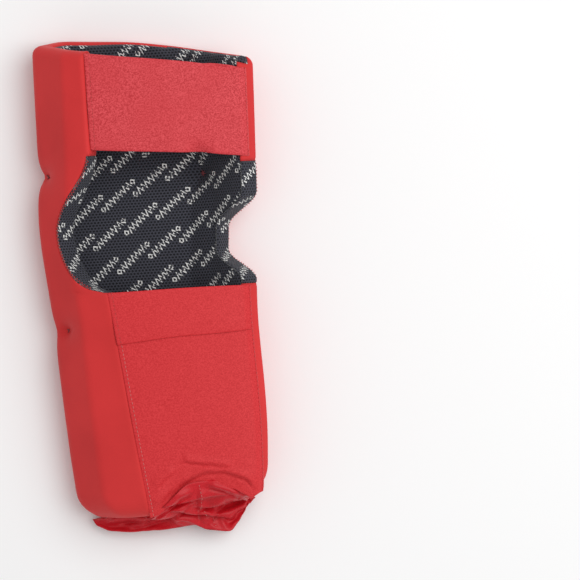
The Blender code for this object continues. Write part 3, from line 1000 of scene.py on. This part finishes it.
def add_cloth(obj, frames):
    """Thin stretch cloth, pinned where the vertex group says."""
    modifier = obj.modifiers.new("cloth", "CLOTH")
    settings, collisions = modifier.settings, modifier.collision_settings
    settings.quality = 6
    settings.mass = 0.12
    settings.tension_stiffness = settings.compression_stiffness = 12.0
    settings.shear_stiffness = 4.0
    settings.bending_stiffness = 0.5
    settings.air_damping = 2.0
    settings.effector_weights.gravity = CUFF_GRAVITY
    settings.vertex_group_mass = "sewn"
    collisions.use_self_collision = True
    collisions.self_distance_min = collisions.distance_min = CLOTH_GAP
    collisions.collision_quality = 2
    modifier.point_cache.frame_start, modifier.point_cache.frame_end = 1, frames


def make_cuff(name):
    """A tube of thin stretch cloth whose hem is pushed up towards the pad until it crumples."""
    scene = bpy.context.scene
    frames = SIM_FRAMES
    cuff = object_from(tube_mesh(cuff_points(CUFF_EXCESS, 0.0), SIM_SCALE), name)
    hem = cuff_points(0.0, CUFF_TWIST)[-1]
    hem_start = CUFF_ROWS * CUFF_COLUMNS
    cuff.shape_key_add(name="loose")
    key = cuff.shape_key_add(name="gathered")
    for c in range(CUFF_COLUMNS):
        key.data[hem_start + c].co = Vector(row(*hem[c])) * SIM_SCALE
    for value, frame_number in ((0.0, 1), (1.0, min(GATHER_FRAMES, frames))):
        key.value = value
        key.keyframe_insert("value", frame=frame_number)
    pins = cuff.vertex_groups.new(name="sewn")
    pins.add([*range(CUFF_COLUMNS), *range(hem_start, hem_start + CUFF_COLUMNS)], 1.0, "REPLACE")
    obstacles = cuff_obstacles()
    add_cloth(cuff, frames)
    for frame_number in range(1, frames + 1):
        scene.frame_set(frame_number)
    graph = bpy.context.evaluated_depsgraph_get()
    settled = bpy.data.meshes.new_from_object(cuff.evaluated_get(graph), depsgraph=graph)
    cuff.modifiers.clear()
    cuff.shape_key_clear()
    cuff.data = settled
    for vert in cuff.data.vertices:
        vert.co = vert.co / SIM_SCALE
    cuff.data.shade_smooth()
    for obj in obstacles:
        bpy.data.objects.remove(obj)
    scene.frame_set(1)
    return cuff


# ---------------------------------------------------------------- materials


class Nodes:
    """A small helper for building one procedural material."""

    def __init__(self, name, roughness, sheen=0.0, sheen_roughness=0.5, specular=0.5):
        self.material = bpy.data.materials.new(name)
        self.material.use_nodes = True
        self.tree = self.material.node_tree
        self.shader = self.tree.nodes["Principled BSDF"]
        for socket, value in (
            ("Roughness", roughness),
            ("Sheen Weight", sheen),
            ("Sheen Roughness", sheen_roughness),
            ("Specular IOR Level", specular),
        ):
            self.shader.inputs[socket].default_value = value

    def add(self, kind, **settings):
        node = self.tree.nodes.new(kind)
        for key, value in settings.items():
            setattr(node, key, value)
        return node

    def link(self, source, target):
        self.tree.links.new(source, target)

    def math(self, operation, a, b=0.0, clamp=False):
        node = self.add("ShaderNodeMath", operation=operation, use_clamp=clamp)
        for socket, value in zip(node.inputs, (a, b)):
            if isinstance(value, (int, float)):
                socket.default_value = value
            else:
                self.link(value, socket)
        return node.outputs[0]

    def times(self, a, b):
        return self.math("MULTIPLY", a, b)

    def over(self, a, b):
        return self.math("DIVIDE", a, b)

    def plus(self, a, b):
        return self.math("ADD", a, b)

    def minus(self, a, b):
        return self.math("SUBTRACT", a, b)

    def floor(self, a):
        return self.math("FLOOR", a)

    def fract(self, a):
        return self.math("FRACT", a)

    def unsigned(self, a):
        return self.math("ABSOLUTE", a)

    def ramp(self, value, low, high):
        """0 below low and 1 above high, smooth between; runs backwards if low is above high."""
        node = self.add("ShaderNodeMapRange", interpolation_type="SMOOTHSTEP")
        self.link(value, node.inputs["Value"])
        node.inputs["From Min"].default_value = low
        node.inputs["From Max"].default_value = high
        return node.outputs["Result"]

    def noise(self, vector, size, detail=2.0, roughness=0.5):
        """Noise whose features are about `size` millimetres."""
        node = self.add("ShaderNodeTexNoise")
        self.link(vector, node.inputs["Vector"])
        for socket, value in (("Scale", 1.0 / (size * MM)), ("Detail", detail), ("Roughness", roughness)):
            node.inputs[socket].default_value = value
        return node.outputs["Fac"]

    def place(self):
        return self.add("ShaderNodeTexCoord").outputs["Object"]

    def cloth(self):
        """The place on the flat cloth, in metres: across it and along it."""
        vector = self.add("ShaderNodeAttribute", attribute_name="cloth").outputs["Vector"]
        node = self.add("ShaderNodeSeparateXYZ")
        self.link(vector, node.inputs[0])
        return node.outputs[0], node.outputs[1]

    def mix(self, share, a, b):
        node = self.add("ShaderNodeMix", data_type="RGBA")
        if isinstance(share, float):
            node.inputs["Factor"].default_value = share
        else:
            self.link(share, node.inputs["Factor"])
        for socket, value in ((node.inputs[6], a), (node.inputs[7], b)):
            if isinstance(value, tuple):
                socket.default_value = (*value, 1.0)
            else:
                self.link(value, socket)
        return node.outputs[2]

    def colour(self, source):
        self.link(source, self.shader.inputs["Base Color"])

    def bump(self, height, distance, strength=1.0):
        """Raises the surface by a height from 0 to 1, of `distance` millimetres in all."""
        node = self.add("ShaderNodeBump")
        node.inputs["Strength"].default_value = strength
        node.inputs["Distance"].default_value = distance * MM
        self.link(height, node.inputs["Height"])
        self.link(node.outputs[0], self.shader.inputs["Normal"])

    def knit(self, pitch):
        """Fine knit: rows of little loops, as a height from 0 to 1."""
        u, v = self.cloth()
        across = self.math("SINE", self.times(u, 2 * math.pi / (pitch * MM)))
        along = self.math("SINE", self.times(v, 2 * math.pi / (pitch * 0.8 * MM)))
        return self.plus(self.times(self.times(across, along), 0.25), 0.5)


def cover_material():
    nodes = Nodes("cover_knit_red", roughness=0.72, sheen=0.06, sheen_roughness=0.4, specular=0.25)
    place = nodes.place()
    tone, fibre = nodes.noise(place, 55.0, 3.0), nodes.noise(place, 0.7, 2.0)
    base = nodes.mix(nodes.ramp(tone, 0.3, 0.7), (0.620, 0.030, 0.031), (0.700, 0.036, 0.037))
    shaded = nodes.mix(0.10, base, (0.30, 0.012, 0.014))
    nodes.colour(nodes.mix(nodes.ramp(fibre, 0.25, 0.75), shaded, base))
    nodes.bump(nodes.plus(nodes.times(nodes.knit(0.9), 0.6), nodes.times(fibre, 0.4)), 0.10, 0.6)
    return nodes.material


def elastic_material():
    nodes = Nodes("band_elastic_heather", roughness=0.62, sheen=0.10, sheen_roughness=0.35, specular=0.3)
    place = nodes.place()
    speckle, cloud = nodes.noise(place, 0.95, 3.0, 0.65), nodes.noise(place, 26.0, 2.0)
    heather = nodes.mix(nodes.ramp(speckle, 0.34, 0.66), (0.470, 0.018, 0.025), (0.760, 0.078, 0.092))
    faded = nodes.times(nodes.ramp(cloud, 0.35, 0.7), 0.35)
    nodes.colour(nodes.mix(faded, heather, (0.60, 0.036, 0.045)))
    nodes.bump(nodes.plus(nodes.times(nodes.knit(1.3), 0.5), nodes.times(speckle, 0.7)), 0.16, 0.7)
    return nodes.material


def stretch_material(name, dark, light, roughness, sheen):
    nodes = Nodes(name, roughness=roughness, sheen=sheen, sheen_roughness=0.3, specular=0.3)
    speckle = nodes.noise(nodes.place(), 0.85, 3.0, 0.6)
    nodes.colour(nodes.mix(nodes.ramp(speckle, 0.32, 0.68), dark, light))
    nodes.bump(nodes.plus(nodes.times(nodes.knit(0.8), 0.5), nodes.times(speckle, 0.5)), 0.09, 0.6)
    return nodes.material


HOLE_PITCH, HOLE_ROW = 2.35, 0.82
# Print in slanted rows: angle, distance between rows, and along a row the repeat, the length of
# a group of marks and the shift from one row to the next
PRINT_ANGLE, PRINT_ROW = 41.5, 7.6
PRINT_PERIOD, PRINT_GROUP, PRINT_SHIFT = 68.0, 31.5, 22.7
MARK_PITCH, MIDDLE_MARK = 4.5, 3.0
DIAMOND_WIDTH, DIAMOND_HEIGHT = 2.0, 2.4
ZIGZAG_PITCH, ZIGZAG_HEIGHT = 3.2, 2.2


def hole_distance(nodes, u_mm, v_mm):
    """Distance from the middle of the nearest hole, in a mesh of staggered holes."""
    lines = nodes.over(v_mm, HOLE_PITCH * HOLE_ROW)
    stagger = nodes.times(nodes.math("MODULO", nodes.plus(nodes.floor(lines), 1000.0), 2.0), 0.5)
    across = nodes.minus(nodes.fract(nodes.plus(nodes.over(u_mm, HOLE_PITCH), stagger)), 0.5)
    along = nodes.minus(nodes.fract(lines), 0.5)
    return nodes.math("SQRT", nodes.plus(nodes.times(across, across), nodes.times(along, along)))


def print_marks(nodes, u_mm, v_mm):
    """Groups of marks in slanted rows: a zigzag between two small diamonds."""
    cos, sin = math.cos(math.radians(PRINT_ANGLE)), math.sin(math.radians(PRINT_ANGLE))
    s = nodes.plus(nodes.times(u_mm, cos), nodes.times(v_mm, sin))
    t = nodes.minus(nodes.times(v_mm, cos), nodes.times(u_mm, sin))
    rows = nodes.over(t, PRINT_ROW)
    up = nodes.times(nodes.minus(nodes.fract(rows), 0.5), PRINT_ROW)
    shifted = nodes.plus(s, nodes.times(nodes.floor(rows), PRINT_SHIFT))
    along = nodes.times(nodes.fract(nodes.over(shifted, PRINT_PERIOD)), PRINT_PERIOD)
    in_group = nodes.times(
        nodes.math("LESS_THAN", along, PRINT_GROUP), nodes.math("GREATER_THAN", along, 0.3)
    )
    mark = nodes.over(along, MARK_PITCH)
    from_middle = nodes.unsigned(nodes.minus(nodes.floor(mark), MIDDLE_MARK))
    at_ends = nodes.math("GREATER_THAN", from_middle, MIDDLE_MARK - 0.5)

    in_mark = nodes.times(nodes.minus(nodes.fract(mark), 0.5), MARK_PITCH)
    lozenge = nodes.plus(
        nodes.over(nodes.unsigned(in_mark), DIAMOND_WIDTH), nodes.over(nodes.unsigned(up), DIAMOND_HEIGHT)
    )
    diamond = nodes.times(nodes.ramp(lozenge, 0.42, 0.55), nodes.ramp(lozenge, 1.06, 0.95))
    wave = nodes.unsigned(nodes.minus(nodes.fract(nodes.over(along, ZIGZAG_PITCH)), 0.5))
    peaks = nodes.times(nodes.minus(wave, 0.25), 4.0 * ZIGZAG_HEIGHT)
    zigzag = nodes.ramp(nodes.unsigned(nodes.minus(up, peaks)), 1.28, 0.78)
    between = nodes.minus(1.0, at_ends)
    return nodes.times(
        nodes.plus(nodes.times(diamond, at_ends), nodes.times(zigzag, between)), in_group
    )


def lining_material():
    """Dark knitted mesh with a worn pale print."""
    nodes = Nodes("mesh_lining_dark", roughness=0.78, sheen=0.15, sheen_roughness=0.4, specular=0.3)
    u_mm, v_mm = (nodes.times(value, 1000.0) for value in nodes.cloth())
    place = nodes.place()
    from_hole = hole_distance(nodes, u_mm, v_mm)
    thread = nodes.ramp(from_hole, 0.24, 0.42)
    worn = nodes.ramp(nodes.noise(place, 1.8, 2.0), 0.33, 0.46)
    inked = nodes.times(worn, nodes.ramp(from_hole, 0.16, 0.30))
    show = nodes.math("MULTIPLY", print_marks(nodes, u_mm, v_mm), inked, clamp=True)
    fibre = nodes.noise(place, 0.9, 2.0)
    yarn = nodes.mix(fibre, (0.020, 0.021, 0.032), (0.072, 0.073, 0.094))
    # Painted shade: the holes are coloured near-black for the shade in their hollows between the yarn.
    yarn_and_hole_shade = nodes.mix(thread, (0.004, 0.004, 0.007), yarn)
    nodes.colour(nodes.mix(show, yarn_and_hole_shade, (0.78, 0.78, 0.76)))
    nodes.bump(nodes.plus(thread, nodes.times(fibre, 0.3)), 0.35, 0.8)
    return nodes.material


def thread_material(name, colour):
    nodes = Nodes(name, roughness=0.6, sheen=0.2, specular=0.4)
    twist = nodes.noise(nodes.place(), 0.35, 1.0)
    nodes.colour(nodes.mix(twist, tuple(c * 0.72 for c in colour), colour))
    nodes.bump(twist, 0.06, 0.5)
    return nodes.material


def foam_material():
    nodes = Nodes("foam_sheet_grey", roughness=0.95, specular=0.2)
    cells = nodes.noise(nodes.place(), 0.8, 3.0)
    nodes.colour(nodes.mix(cells, (0.42, 0.42, 0.40), (0.62, 0.62, 0.60)))
    nodes.bump(cells, 0.3, 0.8)
    return nodes.material


# ---------------------------------------------------------------- assembly

SHELL_SPACING, CORE_SPACING, CORE_SKIN = 2.6, 4.0, 2.6
COVER_CLOTH, FACING_CLOTH, LINING_CLOTH, BAND_CLOTH, CUFF_CLOTH = 1.0, 0.8, 0.9, 1.2, 0.6

# Stitches: pitch, length and radius of the thread
BAND_STITCH, PANEL_LEFT_STITCH, PANEL_RIGHT_STITCH = (2.6, 1.6, 0.16), (2.8, 1.7, 0.17), (2.8, 1.8, 0.18)
WINDOW_OVERLOCK, CUFF_STITCH = (2.3, 1.3, 0.28), (2.4, 1.4, 0.16)


def across_joint(obj):
    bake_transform(obj)
    return obj


shell, zone_layer, shell_seams = make_shell(SHELL_SPACING, 0.0, True)
zone_area = {
    zone: sum(face.calc_area() for face in shell.faces if ZONES[face[zone_layer]] == zone)
    for zone in ZONES
}
cover = split_zone(shell, ("outer", "end"), "padded_cover", COVER_CLOTH)
left_facing = split_zone(shell, ("left",), "left_window_facing", FACING_CLOTH)
right_facing = split_zone(shell, ("right",), "right_window_facing", FACING_CLOTH)
lining = split_zone(shell, ("inner",), "mesh_lining_sheet", LINING_CLOTH)
shell.free()
core, _, _ = make_shell(CORE_SPACING, CORE_SKIN, False)
foam_core = object_from(core, "foam_core")

finish_piece(cover, cover_material())
dark_mesh = lining_material()
for piece in (left_facing, right_facing, lining):
    finish_piece(piece, dark_mesh)
finish_piece(foam_core, foam_material())

upper_band, upper_seams, upper_area = make_front(
    "upper_band_cloth", UPPER_BAND, (1.5, -0.5), 44, 64, upper_band_shape, BAND_CLOTH
)
lower_band, lower_seams, lower_area = make_front(
    "lower_band_cloth", LOWER_BAND, (0.45, 0.8), 26, 64, lower_band_shape, BAND_CLOTH
)
panel, panel_seams, panel_area = make_front(
    "stretch_panel_cloth", PANEL, (0.4, 0.6), 80, 64, panel_shape, PANEL_THICKNESS
)
panel_knit = stretch_material("stretch_knit_panel", (0.540, 0.013, 0.018), (0.700, 0.036, 0.042), 0.6, 0.05)
cuff_knit = stretch_material("stretch_knit_cuff", (0.485, 0.006, 0.013), (0.620, 0.013, 0.023), 0.42, 0.08)
finish_piece(upper_band, elastic_material())
finish_piece(lower_band, panel_knit)
finish_piece(panel, panel_knit)

cuff = make_cuff("wrist_cuff_cloth")
# The cloth of the cuff was cut about 5 % larger than it lies after gathering.
cuff_seam_line = cuff_seam(cuff)
finer = cuff.modifiers.new("finer", "SUBSURF")
finer.levels = finer.render_levels = 1
apply_modifiers(cuff)
press_folds(cuff)
solid = cuff.modifiers.new("thickness", "SOLIDIFY")
solid.thickness = CUFF_CLOTH * MM
solid.offset = -1.0
apply_modifiers(cuff)
finish_piece(cuff, cuff_knit)

red_thread = thread_material("seam_thread_red", (0.62, 0.05, 0.05))
pale_thread = thread_material("seam_thread_pale", (0.76, 0.24, 0.23))
knot_thread = thread_material("seam_thread_dull", (0.20, 0.020, 0.028))
dark_thread = thread_material("seam_thread_dark", (0.012, 0.012, 0.018))


def sew(obj, material, body=None):
    """Finishes a thread and hangs it on one body, or else bakes its transform where it lies."""
    finish_piece(obj, material)
    if body is None:
        across_joint(obj)
    else:
        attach(obj, body)
    return obj


for side in ("left", "right"):
    sew(overlock(f"{side}_window_overlock", shell_seams[f"{side}_outer"], *WINDOW_OVERLOCK), red_thread)
    inner_seam = shell_seams[f"{side}_inner"]
    sew(running_stitch(f"{side}_window_inner_stitch", inner_seam, *BAND_STITCH), dark_thread)
for piece_name, side, seams, stitch, thread, body in (
    ("upper_band", "left", upper_seams, BAND_STITCH, red_thread, "upper_arm"),
    ("upper_band", "right", upper_seams, BAND_STITCH, red_thread, "upper_arm"),
    ("lower_band", "left", lower_seams, BAND_STITCH, red_thread, None),
    ("lower_band", "right", lower_seams, BAND_STITCH, red_thread, None),
    ("stretch_panel", "left", panel_seams, PANEL_LEFT_STITCH, pale_thread, "forearm"),
    ("stretch_panel", "right", panel_seams, PANEL_RIGHT_STITCH, red_thread, "forearm"),
):
    stitches = running_stitch(f"{piece_name}_{side}_stitch", seams[side], *stitch)
    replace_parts(sew(stitches, thread, body), f"{piece_name}_{side}_thread")
cuff_stitches = running_stitch("wrist_cuff_seam_stitch", cuff_seam_line, *CUFF_STITCH, lift=0.5)
sew(cuff_stitches, pale_thread, "forearm")

CROSS_INSET, KNOT_DEPTH, TACK_RADIUS = 0.7, 8.3, 0.36


def tack_threads(name):
    """The threads of one tack: a small cross outside and, on the right, a knot in the lining."""
    spot, way = tack_spot(name)
    spot.y = aslant(spot.x, spot.y, spot.z)
    around = Vector((-way.z, 0.0, way.x))
    outside = TACKS[name][2] - CROSS_INSET
    arms = [(outside, 2.6, 0.5), (outside, 2.6, 2.1)]
    if name.endswith("right"):
        arms += [(KNOT_DEPTH, 2.4, 0.3), (KNOT_DEPTH, 2.4, 1.4), (KNOT_DEPTH, 2.0, 2.5)]
    paths = []
    for depth, reach, turn in arms:
        centre = spot + way * depth
        arm = (Vector((0.0, 1.0, 0.0)) * math.cos(turn) + around * math.sin(turn)) * reach
        paths.append([Vector(row(*(centre + arm * share))) for share in (-1.0, -0.5, 0.0, 0.5, 1.0)])
    return tube_object(f"{name}_tack_thread", paths, TACK_RADIUS * MM)


for name in TACKS:
    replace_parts(sew(tack_threads(name), knot_thread), f"{name}_tack")

FLOOR_REACH = 6.0
floor_mesh = bpy.data.meshes.new("studio_floor")
floor_corners = [(x * FLOOR_REACH, y * FLOOR_REACH, 0.0) for x, y in ((-1, -1), (1, -1), (1, 1), (-1, 1))]
floor_mesh.from_pydata(floor_corners, [], [(0, 1, 2, 3)])
floor = bpy.data.objects.new("studio_floor", floor_mesh)
bpy.context.scene.collection.objects.link(floor)
floor_nodes = Nodes("studio_floor_white", roughness=0.9, specular=0.1)
floor_nodes.shader.inputs["Base Color"].default_value = (0.96, 0.96, 0.96, 1.0)
floor_mesh.materials.append(floor_nodes.material)

for piece in (cover, left_facing, right_facing, lining, foam_core, lower_band):
    across_joint(piece)
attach(upper_band, "upper_arm")
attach(panel, "forearm")
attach(cuff, "forearm")

parts = ("upper", "elbow", "forearm")
foams = [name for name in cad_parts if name.endswith("_foam")]
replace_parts(cover, *(f"{part}_cover" for part in parts), "top_rim_binding", "bottom_rim_binding")
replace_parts(lining, *(f"{part}_lining" for part in parts))
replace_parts(left_facing, "left_edge_facing")
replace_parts(right_facing, "right_edge_facing")
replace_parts(foam_core, *foams)
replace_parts(upper_band, "upper_band")
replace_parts(lower_band, "lower_band")
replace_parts(panel, "stretch_panel")
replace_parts(cuff, "wrist_cuff", "cuff_hem")

# ---------------------------------------------------------------- camera and light

bpy.context.scene.view_settings.view_transform = "Standard"

CAMERA_HEIGHT, SENSOR_WIDTH = 3.5, 36.0
FRAME_WIDTH, FRAME_CENTRE, FRAME_ROLL = 0.4002, (0.0919, -0.0101), -3.7
camera_data = bpy.data.cameras.new("camera")
camera_data.sensor_width = SENSOR_WIDTH
camera_data.lens = SENSOR_WIDTH * CAMERA_HEIGHT / FRAME_WIDTH
camera = bpy.data.objects.new("camera", camera_data)
camera.location = (*FRAME_CENTRE, CAMERA_HEIGHT)
camera.rotation_euler = (0.0, 0.0, math.radians(FRAME_ROLL))
bpy.context.scene.collection.objects.link(camera)
bpy.context.scene.camera = camera

world = bpy.data.worlds.new("studio")
world.use_nodes = True
background = world.node_tree.nodes["Background"]
background.inputs["Color"].default_value = (1.0, 1.0, 1.0, 1.0)
background.inputs["Strength"].default_value = 0.56
bpy.context.scene.world = world

key_data = bpy.data.lights.new("key", "AREA")
key_data.shape, key_data.size, key_data.energy = "DISK", 1.7, 17.5
key_light = bpy.data.objects.new("key", key_data)
key_light.location = (0.80, 0.30, 1.5)
key_light.rotation_euler = (-key_light.location).to_track_quat("-Z", "Y").to_euler()
bpy.context.scene.collection.objects.link(key_light)
